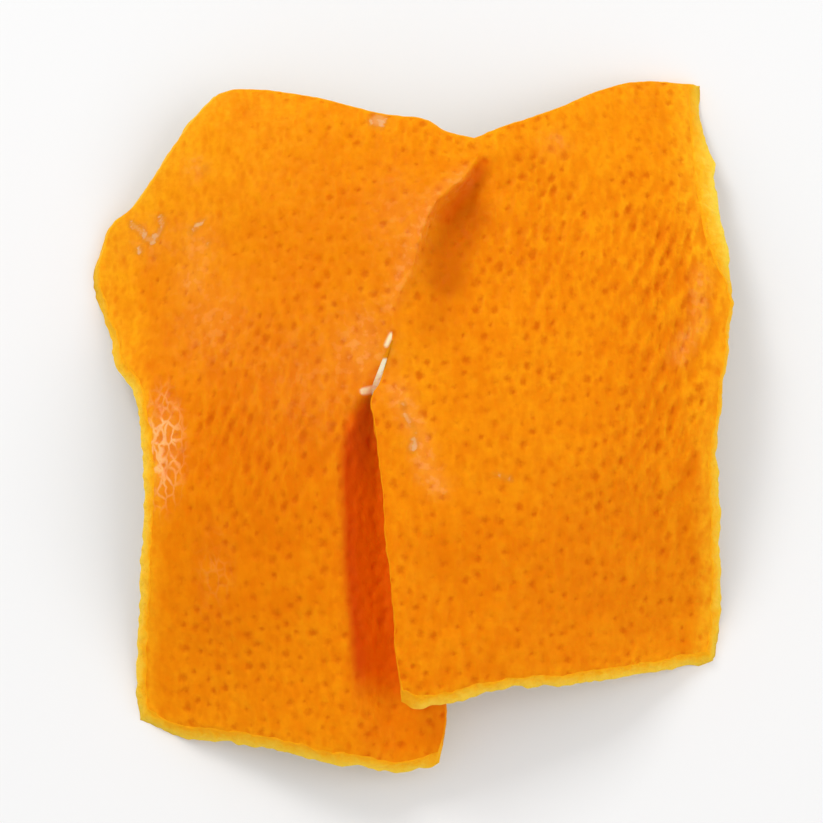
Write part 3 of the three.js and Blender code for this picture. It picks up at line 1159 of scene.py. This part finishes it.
@dataclass
class PeelPlate:
    """The whole piece as one closed mesh, fine on its zest and rim and coarser on its pith."""

    form: PeelForm = field(default_factory=PeelForm)
    marks: Marks = field(default_factory=Marks)
    columns: int = 60
    rows: int = 132
    grading: float = 1.12
    wall_depths: tuple[float, ...] = (0.7, 0.36, 0.12)
    crisp_lip: float = 0.05
    ledge_slack: float = 0.01
    name: str = "peel_plate"

    def build(self) -> bpy.types.Object:
        """Models and dresses the piece.

        Returns:
            The mesh object, in place.
        """
        plate = self._flat_slab()
        self._shape(plate)
        self._finish(plate)
        return plate

    def _flat_slab(self) -> bpy.types.Object:
        """Models the piece flat: two grids joined above the tear and extruded into a slab.

        Its x runs from -1 at the left rim to 1 at the right rim, its y from 0 at the bottom rim to 1 at
        the top, and its z from -1 at the pith face to 0 at the zest.

        Returns:
            The slab.
        """
        halves = []
        for side in Flap:
            bpy.ops.object.select_all(action="DESELECT")
            bpy.ops.mesh.primitive_grid_add(
                x_subdivisions=self.columns,
                y_subdivisions=self.rows,
                size=1,
                location=(side.value / 2, 0.5, -1),
            )
            bpy.ops.object.transform_apply(location=True, rotation=False, scale=False)
            halves.append(bpy.context.object)
            store(halves[-1], "flap", np.full(len(halves[-1].data.vertices), float(side.value)))
        activate(*halves)
        bpy.ops.object.join()
        slab = halves[0]
        slab.name = slab.data.name = self.name
        self._meet_above_tear(slab)
        with editing():
            bpy.ops.mesh.remove_doubles(threshold=TINY)
            bpy.ops.mesh.select_all(action="SELECT")
            depths = (1.0, *self.wall_depths, 0.0)
            for low, high in zip(depths, depths[1:]):
                bpy.ops.mesh.extrude_region_move(TRANSFORM_OT_translate={"value": (0, 0, low - high)})
            bpy.ops.mesh.select_all(action="SELECT")
            bpy.ops.mesh.normals_make_consistent(inside=False)
        select(slab, read_rows(slab.data.polygons, "center")[:, 2] > TINY - 1, "FACE")
        with editing():
            bpy.ops.mesh.subdivide(number_cuts=1)
            bpy.ops.mesh.select_all(action="DESELECT")
            bpy.ops.mesh.select_mode(type="VERT")
        return slab

    def _meet_above_tear(self, slab: bpy.types.Object) -> None:
        """Sets a row at the tip of the tear, and selects where the halves meet above it.

        Args:
            slab: the two grids, as one mesh. The number kept as flap becomes 0 where they meet.
        """
        share = self.form.tear_share
        torn = round(self.rows * share)
        place = read_rows(slab.data.vertices, "co")
        row = np.rint(place[:, 1] * self.rows)
        above = share + (row - torn) / (self.rows - torn) * (1 - share)
        place[:, 1] = np.where(row <= torn, row / torn * share, above)
        write_coordinates(slab, place)
        joined = (np.abs(place[:, 0]) < TINY) & (row >= torn)
        store(slab, "flap", np.where(joined, 0, read(slab, "flap")))
        select(slab, joined)

    def _shape(self, plate: bpy.types.Object) -> None:
        """Bends the flat slab into the peel, roughens it and sets it where the CAD solid lies.

        Args:
            plate: the flat slab.
        """
        lie = self._lie(plate)
        relief = Relief(lie)
        write_coordinates(plate, lie.plain)
        normals = read_rows(plate.data.vertices, "normal")
        height, zest_marks = relief.zest()
        made = lie.plain + relief.fray()
        made[lie.zest] += height[:, None] * normals[lie.zest]
        made[~lie.zest] += relief.rim_and_pith()[:, None] * normals[~lie.zest]
        made[:, 2] += relief.undulate()
        low, high = lie.plain.min(axis=0), lie.plain.max(axis=0)
        made -= [(low[0] + high[0]) / 2, (low[1] + high[1]) / 2, low[2]]
        made[:, 2] = np.maximum(made[:, 2], 0)
        write_coordinates(plate, made * MM)
        for name, values in self.marks.on(lie).items():
            store(plate, name, values)
        for name, values in zest_marks.items():
            every = np.zeros(len(lie.row))
            every[lie.zest] = values
            store(plate, name, every)

    def _lie(self, plate: bpy.types.Object) -> Lie:
        """Works out where each vertex of the flat slab lies once it is bent.

        Args:
            plate: the flat slab.

        Returns:
            Where each vertex lies.
        """
        x, row, z = read_rows(plate.data.vertices, "co").T
        bank = np.where(read(plate, "flap") < 0, Flap.LEFT.value, Flap.RIGHT.value)
        side = np.where(np.abs(x) > TINY, np.sign(x), bank)
        column, depth = 1 - np.abs(x) ** self.grading, -z
        plain = np.zeros((len(x), 3))
        for flap in Flap:
            own = side == flap.value
            plain[own] = self.form.points(flap, column[own], row[own], depth[own])
        return Lie(self.form, plain, side, row, depth, self.form.insets(column, row))

    def _finish(self, plate: bpy.types.Object) -> None:
        """Gives each face of the peel its finish, and shades it smooth but for its crisp edges.

        Args:
            plate: the modelled peel.
        """
        for finish in (ZestFinish(), RimFinish(), PithFinish()):
            plate.data.materials.append(finish.material())
        depth = read(plate, "depth")
        for face in plate.data.polygons:
            depths = [depth[i] for i in face.vertices]
            layer = Layer.PITH if min(depths) > 1 - TINY else Layer.RIM
            face.material_index = (Layer.ZEST if max(depths) < TINY else layer).value
        activate(plate)
        bpy.ops.object.shade_smooth()
        at_ledge = np.abs(depth - self.form.ledge_depth) < self.ledge_slack
        ledge = (read(plate, "lip") > self.crisp_lip) & at_ledge
        under = (depth > 1 - TINY) & (read(plate, "rim") < TINY)
        for crisp in (ledge, under):
            select(plate, crisp)
            with editing():
                bpy.ops.mesh.select_mode(type="EDGE")
                bpy.ops.mesh.mark_sharp()
                bpy.ops.mesh.select_all(action="DESELECT")


# --- Finishes ---


def paint(colour: Colour) -> tuple[float, float, float, float]:
    """A colour given as a painter mixes it, from 0 to 255, as the linear values that light needs."""
    parts = [part / 255 for part in colour]
    return (*(p / 12.92 if p <= 0.04045 else ((p + 0.055) / 1.055) ** 2.4 for p in parts), 1.0)


@dataclass(frozen=True)
class Mottle:
    """Soft random patches: how many in a metre, the noise that gives 0 and 1, and how much finer noise."""

    per_metre: float
    low: float
    high: float
    detail: float = 2.0


class Bench:
    """Places nodes in one tree and joins them."""

    def __init__(self, tree: bpy.types.NodeTree) -> None:
        """Starts on a tree.

        Args:
            tree: the node tree of a material or a group.
        """
        self.tree = tree

    def node(self, kind: str, sockets: dict[Any, Any] | None = None, **settings: Any) -> bpy.types.Node:
        """Adds a node.

        Args:
            kind: the node's type, without the words ShaderNode in front.
            sockets: a value or another node's output for inputs, by name or number.
            settings: the node's own properties.

        Returns:
            The node.
        """
        made = self.tree.nodes.new(f"ShaderNode{kind}")
        for name, value in settings.items():
            setattr(made, name, value)
        for name, value in (sockets or {}).items():
            if isinstance(value, Socket):
                self.tree.links.new(value, made.inputs[name])
            else:
                made.inputs[name].default_value = value
        return made

    def coats(self, first: Socket, *coats: tuple[Socket, Colour | Socket, float]) -> Socket:
        """Lays coats of colour over a first one.

        Args:
            first: the colour underneath.
            coats: each coat's mask from 0 to 1, its colour and its strength, in order.

        Returns:
            The colour on top.
        """
        colour = first
        for mask, tint, strength in coats:
            colour = self.blend(mask if strength == 1 else self.product(mask, strength), colour, tint)
        return colour

    def blend(self, share: Socket, first: Colour | Socket, second: Colour | Socket) -> Socket:
        """Mixes two colours by a share from 0, the first, to 1, the second."""
        parts = [part if isinstance(part, Socket) else paint(part) for part in (first, second)]
        return self.node("Mix", {0: share, 6: parts[0], 7: parts[1]}, data_type="RGBA").outputs[2]

    def sum(self, first: Socket | float, second: Socket | float, *more: Socket | float) -> Socket:
        """Adds two or more numbers."""
        added = self.node("Math", {0: first, 1: second}, operation="ADD").outputs[0]
        return self.sum(added, *more) if more else added

    def less(self, first: Socket | float, second: Socket | float) -> Socket:
        """Takes the second number from the first."""
        return self.node("Math", {0: first, 1: second}, operation="SUBTRACT").outputs[0]

    def product(self, first: Socket | float, second: Socket | float) -> Socket:
        """Multiplies two numbers."""
        return self.node("Math", {0: first, 1: second}, operation="MULTIPLY").outputs[0]

    def ramp(self, value: Socket, low: float, high: float, start: float = 0.0, end: float = 1.0) -> Socket:
        """Smoothly takes a value from start, where it is low, to end, where it is high."""
        sockets = {"Value": value, "From Min": low, "From Max": high, "To Min": start, "To Max": end}
        return self.node("MapRange", sockets, interpolation_type="SMOOTHSTEP").outputs[0]

    def sway(self, value: Socket, strength: float) -> Socket:
        """Turns a value from 0 to 1 into one that sways about 0, by half the strength either way."""
        return self.product(self.less(value, 0.5), strength)

    def mark(self, name: str) -> Socket:
        """The number that the mesh keeps under a name."""
        return self.node("Attribute", attribute_name=name).outputs["Fac"]

    def drawn(self, place: Socket, scale: tuple[float, float, float], turn: float = 0.0) -> Socket:
        """The places drawn out along some axes and turned in plan, so that a pattern follows."""
        return self.node("Mapping", {"Vector": place, "Rotation": (0, 0, turn), "Scale": scale}).outputs[0]

    def mottle(self, place: Socket, patches: Mottle) -> Socket:
        """Lays soft random patches.

        Args:
            place: the places that the patches follow.
            patches: their size and how they show.

        Returns:
            A mask from 0 to 1.
        """
        sockets = {"Vector": place, "Per Metre": patches.per_metre, "Detail": patches.detail}
        sockets.update({"Low": patches.low, "High": patches.high})
        return self.node("Group", sockets, node_tree=mottle_group()).outputs[0]

    def bump(self, height: Socket, strength: float, distance: float) -> Socket:
        """The normals of a surface with a height from about 0 to 1, over a distance in metres."""
        return self.node("Bump", {"Height": height, "Strength": strength, "Distance": distance}).outputs[0]


def mottle_group() -> bpy.types.NodeTree:
    """Builds the group that gives soft random patches, which every face of the peel shows.

    Returns:
        A group with inputs Vector, Per Metre, Detail, Low and High and the output Mask.
    """
    name = "mottle"
    if name in bpy.data.node_groups:
        return bpy.data.node_groups[name]
    tree = bpy.data.node_groups.new(name, "ShaderNodeTree")
    face = tree.interface
    face.new_socket("Vector", in_out="INPUT", socket_type="NodeSocketVector")
    for label, start in (("Per Metre", 100.0), ("Detail", 2.0), ("Low", 0.35), ("High", 0.65)):
        face.new_socket(label, in_out="INPUT", socket_type="NodeSocketFloat").default_value = start
    face.new_socket("Mask", in_out="OUTPUT", socket_type="NodeSocketFloat")
    bench = Bench(tree)
    given = tree.nodes.new("NodeGroupInput").outputs
    sockets = {"Vector": given["Vector"], "Scale": given["Per Metre"], "Detail": given["Detail"]}
    cloud = bench.node("TexNoise", sockets)
    mask = bench.ramp(cloud.outputs["Fac"], given["Low"], given["High"])
    tree.links.new(mask, tree.nodes.new("NodeGroupOutput").inputs["Mask"])
    return tree


@dataclass(frozen=True)
class Finish:
    """A face's material: its name and how its light behaves."""

    name: str
    roughness: float
    specular: float
    glow: float
    glow_radius: tuple[float, float, float]
    glow_scale: float
    coat_roughness: float = 0.03

    def material(self) -> bpy.types.Material:
        """Makes the material.

        Returns:
            The material, with its nodes joined.
        """
        made = bpy.data.materials.new(self.name)
        made.use_nodes = True
        inputs = made.node_tree.nodes["Principled BSDF"].inputs
        inputs["Roughness"].default_value = self.roughness
        inputs["Specular IOR Level"].default_value = self.specular
        inputs["Subsurface Weight"].default_value = self.glow
        inputs["Subsurface Radius"].default_value = self.glow_radius
        inputs["Subsurface Scale"].default_value = self.glow_scale
        inputs["Coat Roughness"].default_value = self.coat_roughness
        bench = Bench(made.node_tree)
        for socket, output in self.dress(bench, bench.node("TexCoord").outputs["Object"]).items():
            made.node_tree.links.new(output, inputs[socket])
        return made

    def dress(self, bench: Bench, place: Socket) -> dict[str, Socket]:
        """Works out what changes over the face.

        Args:
            bench: the bench of the material's nodes.
            place: the place of each point on the piece.

        Returns:
            Outputs by the name of the shader's input that each feeds.
        """
        raise NotImplementedError


@dataclass(frozen=True)
class ZestFinish(Finish):
    """Satin orange zest, darker in its oil glands and paler at its margins and scars, with shade painted in
    its crease, its hollows and the gap under the right flap, and light, sheen and glints painted where it
    shows lit.
    """

    name: str = "orange_zest"
    roughness: float = 0.5
    specular: float = 0.03
    glow: float = 0.4
    glow_radius: tuple[float, float, float] = (1.0, 0.3, 0.05)
    glow_scale: float = 0.0012
    coat_roughness: float = 0.22
    body: Colour = (244, 143, 4)
    deep: Colour = (235, 128, 0)
    ruddy: Colour = (228, 117, 0)
    # Paler, yellower orange: the zest's own random tone, and painted light on its lit patches.
    pale_tone_and_light: Colour = (250, 164, 13)
    golden: Colour = (253, 181, 28)
    pit: Colour = (214, 98, 0)
    scuff_and_sheen: Colour = (250, 162, 78)
    # Peach for scuffs, and for the painted sheen on the crest of the crease and beside the tear.
    corky: Colour = (230, 174, 118)
    tanned: Colour = (222, 134, 30)
    # Painted glint on the net of puckered ridges.
    painted_glint: Colour = (255, 186, 116)
    bare: Colour = (255, 228, 184)
    # Painted shade for the crease's valley.
    crease_shade: Colour = (208, 104, 0)
    # Painted shade for the crease's wall.
    wall_shade: Colour = (224, 94, 0)
    # Painted shade for the gap under the right flap: darker at its open edge, lighter further in, where real
    # shadow falls too.
    buried: Colour = (208, 70, 0)
    gap_shade_inside: Colour = (248, 108, 0)
    broad: Mottle = Mottle(85.0, 0.36, 0.64)
    middling: Mottle = Mottle(420.0, 0.3, 0.7)
    fine: Mottle = Mottle(2300.0, 0.25, 0.75, 3.0)
    speck: Mottle = Mottle(1300.0, 0.46, 0.66, 4.0)
    streak: Mottle = Mottle(1150.0, 0.36, 0.64, 3.0)
    streak_draw: tuple[float, float, float] = (1.0, 0.36, 0.7)
    streak_turn: float = 0.28
    net_draw: tuple[float, float, float] = (1.0, 0.6, 1.0)
    net_per_metre: float = 1250.0
    wander: float = 0.0009
    wanders_per_metre: float = 700.0
    pore_draw: tuple[float, float, float] = (1.0, 0.62, 0.8)
    pores_per_metre: float = 1450.0
    bump: Plan = (0.6, 0.00012)

    def dress(self, bench: Bench, place: Socket) -> dict[str, Socket]:
        """Works out the colour, roughness, bump and gloss of the zest.

        Args:
            bench: the bench of the material's nodes.
            place: the place of each point on the piece.

        Returns:
            Outputs by the name of the shader's input that each feeds.
        """
        middling = bench.mottle(place, self.middling)
        fine = bench.mottle(place, self.fine)
        speck = bench.mottle(place, self.speck)
        streak = bench.mottle(bench.drawn(place, self.streak_draw, self.streak_turn), self.streak)
        drawing = bench.sum(bench.product(bench.mark("slant"), 0.4), 0.25)
        streaks = bench.product(streak, drawing)
        # The paler parts between the streaks: the grain's own tone, and partly painted highlight on its
        # ridges.
        light = bench.product(bench.less(1.0, streak), bench.product(drawing, 0.5))
        pit = bench.ramp(bench.sum(bench.mark("gland"), bench.sway(fine, 0.3)), 0.1, 0.85)
        pore = self._pores(bench, place)
        # The colour of the painted shade in the gap.
        inner = bench.blend(bench.ramp(bench.mark("buried"), 0.1, 0.9), self.buried, self.gap_shade_inside)
        haze = bench.product(bench.mark("haze"), bench.ramp(speck, 0.0, 1.0, 0.3, 1.0))
        scar = bench.product(bench.mark("scar"), bench.ramp(speck, 0.0, 1.0, 0.5, 1.0))
        net = bench.product(self._net(bench, place), bench.ramp(bench.mark("pucker"), 0.1, 0.7))
        colour = bench.coats(
            bench.blend(bench.mottle(place, self.broad), self.body, self.deep),
            (middling, self.pale_tone_and_light, 0.3),
            # Paler margins and rim bands, and painted light on the lit patches.
            (bench.mark("pale"), self.pale_tone_and_light, 1),
            (bench.mark("edge"), self.golden, 1),
            (bench.mark("ruddy"), self.ruddy, 1),
            (fine, self.ruddy, 0.3),
            (streaks, self.ruddy, 1),
            (light, self.pale_tone_and_light, 1),
            (pore, self.ruddy, 0.6),
            # Painted shade in the hollows of the relief.
            (bench.mark("hollow"), self.ruddy, 0.55),
            (pit, self.pit, 0.75),
            # Painted shade in the crease's valley.
            (bench.ramp(bench.mark("shade"), 0.0, 0.55), self.crease_shade, 1),
            # Painted shade on the crease's wall.
            (bench.mark("wall_shade"), self.wall_shade, 1),
            # Painted shade in the gap under the right flap.
            (bench.mark("gap"), inner, 1),
            # Scuffs and painted sheen.
            (haze, self.scuff_and_sheen, 0.65),
            (bench.ramp(scar, 0.03, 0.35, 0.0, 0.6), self.tanned, 1),
            (bench.ramp(scar, 0.3, 0.75, 0.0, 0.9), self.corky, 1),
            # Painted glints on the puckered net.
            (bench.product(net, bench.ramp(middling, 0.0, 0.7, 0.15, 0.85)), self.painted_glint, 1),
            (bench.ramp(bench.mark("torn_skin"), 0.15, 0.85), self.bare, 1),
        )
        dull = bench.ramp(fine, 0.0, 1.0, self.roughness - 0.07, self.roughness + 0.1)
        height = bench.sum(
            bench.product(fine, 0.22),
            bench.product(pit, -0.55),
            bench.product(speck, 0.2),
            bench.product(pore, -0.45),
            bench.product(streaks, -1.2),
        )
        return {
            "Base Color": colour,
            "Roughness": bench.sum(dull, bench.product(pit, 0.12)),
            "Normal": bench.bump(height, *self.bump),
            "Coat Weight": bench.product(bench.ramp(bench.mark("pucker"), 0.1, 0.8), 0.45),
        }

    def _net(self, bench: Bench, place: Socket) -> Socket:
        """The net of thin ridges between shrunken glands, on which glints are painted.

        Args:
            bench: the bench of the material's nodes.
            place: the place of each point on the piece.

        Returns:
            A mask from 0 off the ridges to 1 on them.
        """
        cloud = bench.node("TexNoise", {"Vector": place, "Scale": self.wanders_per_metre, "Detail": 2.0})
        moves = {0: cloud.outputs["Color"], 1: (self.wander,) * 3, 2: place}
        moved = bench.node("VectorMath", moves, operation="MULTIPLY_ADD").outputs[0]
        sockets = {"Vector": bench.drawn(moved, self.net_draw), "Scale": self.net_per_metre}
        cells = bench.node("TexVoronoi", sockets, feature="DISTANCE_TO_EDGE")
        return bench.ramp(cells.outputs["Distance"], 0.02, 0.17, 1.0, 0.0)

    def _pores(self, bench: Bench, place: Socket) -> Socket:
        """Small pores between the oil glands.

        Args:
            bench: the bench of the material's nodes.
            place: the place of each point on the piece.

        Returns:
            A mask from 0 off the pores to the strength that each happens to have, at most 1.
        """
        sockets = {"Vector": bench.drawn(place, self.pore_draw), "Scale": self.pores_per_metre}
        cells = bench.node("TexVoronoi", sockets)
        own = bench.node("SeparateColor", {0: cells.outputs["Color"]}).outputs[0]
        return bench.product(bench.ramp(cells.outputs["Distance"], 0.12, 0.55, 1.0, 0.0), own)


@dataclass(frozen=True)
class RimFinish(Finish):
    """The cut and torn edge: orange under the zest, then gold, then cream pith."""

    name: str = "cut_rim"
    roughness: float = 0.7
    specular: float = 0.04
    glow: float = 0.35
    glow_radius: tuple[float, float, float] = (1.0, 0.7, 0.2)
    glow_scale: float = 0.0014
    torn: Colour = (246, 146, 8)
    under_zest: Colour = (255, 168, 18)
    gold: Colour = (255, 184, 34)
    cream: Colour = (255, 206, 70)
    white: Colour = (255, 238, 200)
    fine: Mottle = Mottle(1500.0, 0.3, 0.7, 4.0)
    patch: Mottle = Mottle(300.0, 0.3, 0.7)
    bump: Plan = (0.6, 0.00018)

    def dress(self, bench: Bench, place: Socket) -> dict[str, Socket]:
        """Works out the colour and bump of the rim.

        Args:
            bench: the bench of the material's nodes.
            place: the place of each point on the piece.

        Returns:
            Outputs by the name of the shader's input that each feeds.
        """
        fine = bench.mottle(place, self.fine)
        sway = bench.sum(bench.sway(fine, 0.3), bench.sway(bench.mottle(place, self.patch), 0.3))
        depth = bench.sum(bench.mark("depth"), sway)
        pale = bench.mark("cream")
        colour = bench.coats(
            bench.blend(bench.ramp(pale, -0.3, 0.15), self.torn, self.under_zest),
            (bench.product(bench.ramp(depth, 0.05, 0.4), bench.sum(pale, 0.4)), self.gold, 1),
            (bench.product(bench.ramp(depth, 0.3, 0.9), pale), self.cream, 1),
            (bench.ramp(bench.mark("lip"), 0.1, 0.6), self.white, 1),
        )
        return {"Base Color": colour, "Normal": bench.bump(fine, *self.bump)}


@dataclass(frozen=True)
class PithFinish(Finish):
    """Spongy cream pith with fine fibres and small pockets."""

    name: str = "cream_pith"
    roughness: float = 0.85
    specular: float = 0.12
    glow: float = 0.3
    glow_radius: tuple[float, float, float] = (1.0, 0.75, 0.45)
    glow_scale: float = 0.0012
    cream: Colour = (250, 239, 210)
    warm: Colour = (243, 213, 150)
    hollow: Colour = (220, 176, 104)
    edge: Colour = (250, 196, 84)
    broad: Mottle = Mottle(110.0, 0.35, 0.68, 3.0)
    patch: Mottle = Mottle(260.0, 0.45, 0.65, 3.0)
    sponge: Mottle = Mottle(1100.0, 0.3, 0.7, 4.0)
    fibre: Mottle = Mottle(900.0, 0.42, 0.62, 3.0)
    fibre_draw: tuple[float, float, float] = (1.0, 0.3, 0.6)
    pockets_per_metre: float = 620.0
    bump: Plan = (0.7, 0.0002)

    def dress(self, bench: Bench, place: Socket) -> dict[str, Socket]:
        """Works out the colour and bump of the pith.

        Args:
            bench: the bench of the material's nodes.
            place: the place of each point on the piece.

        Returns:
            Outputs by the name of the shader's input that each feeds.
        """
        sponge = bench.mottle(place, self.sponge)
        fibre = bench.mottle(bench.drawn(place, self.fibre_draw), self.fibre)
        cells = bench.node("TexVoronoi", {"Vector": place, "Scale": self.pockets_per_metre})
        hole = bench.ramp(cells.outputs["Distance"], 0.1, 0.42, 1.0, 0.0)
        pocket = bench.product(hole, bench.mottle(place, self.patch))
        colour = bench.coats(
            bench.blend(bench.mottle(place, self.broad), self.cream, self.warm),
            (fibre, self.hollow, 0.16),
            (sponge, self.warm, 0.45),
            (pocket, self.hollow, 0.6),
            (bench.ramp(bench.mark("rim"), 0.0, 2.4, 0.85, 0.0), self.edge, 1),
        )
        height = bench.sum(
            bench.product(sponge, 0.6),
            bench.product(fibre, -0.4),
            bench.product(pocket, -1.0),
        )
        return {"Base Color": colour, "Normal": bench.bump(height, *self.bump)}


# --- Studio ---


@dataclass(frozen=True)
class Softbox:
    """One square lamp that faces the piece, its place and size in metres and its power in watts."""

    name: str
    place: tuple[float, float, float]
    size: float
    power: float

    def hang(self, centre: Vector) -> None:
        """Hangs the lamp.

        Args:
            centre: the middle of the piece, in metres, from which the lamp's place is measured.
        """
        data = bpy.data.lights.new(self.name, "AREA")
        data.size, data.energy = self.size, self.power
        lamp = bpy.data.objects.new(self.name, data)
        lamp.location = centre + Vector(self.place)
        lamp.rotation_euler = (-Vector(self.place)).to_track_quat("-Z", "Y").to_euler()
        bpy.context.scene.collection.objects.link(lamp)


@dataclass(frozen=True)
class Studio:
    """The floor, the lamps, the sky and the camera round the piece."""

    elevation: float = 78.0
    lens: float = 200.0
    sensor: float = 36.0
    view_width: float = 74.0
    sight: Plan = (0.01, 10.0)
    floor_size: float = 4.0
    floor_shade: Colour = (240, 240, 240)
    floor_roughness: float = 0.9
    sky: float = 0.73
    lamps: tuple[Softbox, ...] = (
        Softbox("key", (-0.3, 0.48, 0.46), 0.26, 1.85),
        Softbox("fill", (0.52, -0.1, 0.55), 0.6, 1.45),
    )

    def build(self) -> None:
        """Makes the studio round the CAD solid."""
        low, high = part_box(NODE)
        centre = (Vector(low) + Vector(high)) / 2
        self._camera(centre)
        self._floor()
        for lamp in self.lamps:
            lamp.hang(centre)
        self._sky()

    def _camera(self, centre: Vector) -> None:
        """Sets the camera above the piece, looking down on its zest.

        Args:
            centre: the middle of the piece, in metres.
        """
        data = bpy.data.cameras.new("camera")
        data.lens, data.sensor_width = self.lens, self.sensor
        data.clip_start, data.clip_end = self.sight
        angle = math.radians(self.elevation)
        back = Vector((0, -math.cos(angle), math.sin(angle)))
        camera = bpy.data.objects.new("camera", data)
        camera.location = centre + back * (self.view_width * MM * self.lens / self.sensor)
        camera.rotation_euler = (-back).to_track_quat("-Z", "Y").to_euler()
        bpy.context.scene.collection.objects.link(camera)
        bpy.context.scene.camera = camera

    def _floor(self) -> None:
        """Lays the plain pale floor."""
        bpy.ops.object.select_all(action="DESELECT")
        bpy.ops.mesh.primitive_plane_add(size=self.floor_size, location=(0, 0, 0))
        floor = bpy.context.object
        floor.name = floor.data.name = "floor"
        pale = bpy.data.materials.new("pale_floor")
        pale.use_nodes = True
        shader = pale.node_tree.nodes["Principled BSDF"]
        shader.inputs["Base Color"].default_value = paint(self.floor_shade)
        shader.inputs["Roughness"].default_value = self.floor_roughness
        floor.data.materials.append(pale)

    def _sky(self) -> None:
        """Lights the piece evenly from all round, and shows colours as they are."""
        world = bpy.data.worlds.new("sky")
        world.use_nodes = True
        world.node_tree.nodes["Background"].inputs["Color"].default_value = (1, 1, 1, 1)
        world.node_tree.nodes["Background"].inputs["Strength"].default_value = self.sky
        bpy.context.scene.world = world
        bpy.context.scene.view_settings.view_transform = "Standard"


def main() -> None:
    """Loads the frame, builds the studio and the piece, and ties the piece to its CAD solid."""
    logging.basicConfig(level=logging.INFO, format="%(name)s: %(message)s")
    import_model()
    Studio().build()
    plate = PeelPlate().build()
    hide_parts(NODE)
    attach(plate, BODY)
    triangles = sum(len(face.vertices) - 2 for face in plate.data.polygons)
    LOG.info("%s: %d vertices, %d triangles", plate.name, len(plate.data.vertices), triangles)


if __name__ == "__main__":
    main()
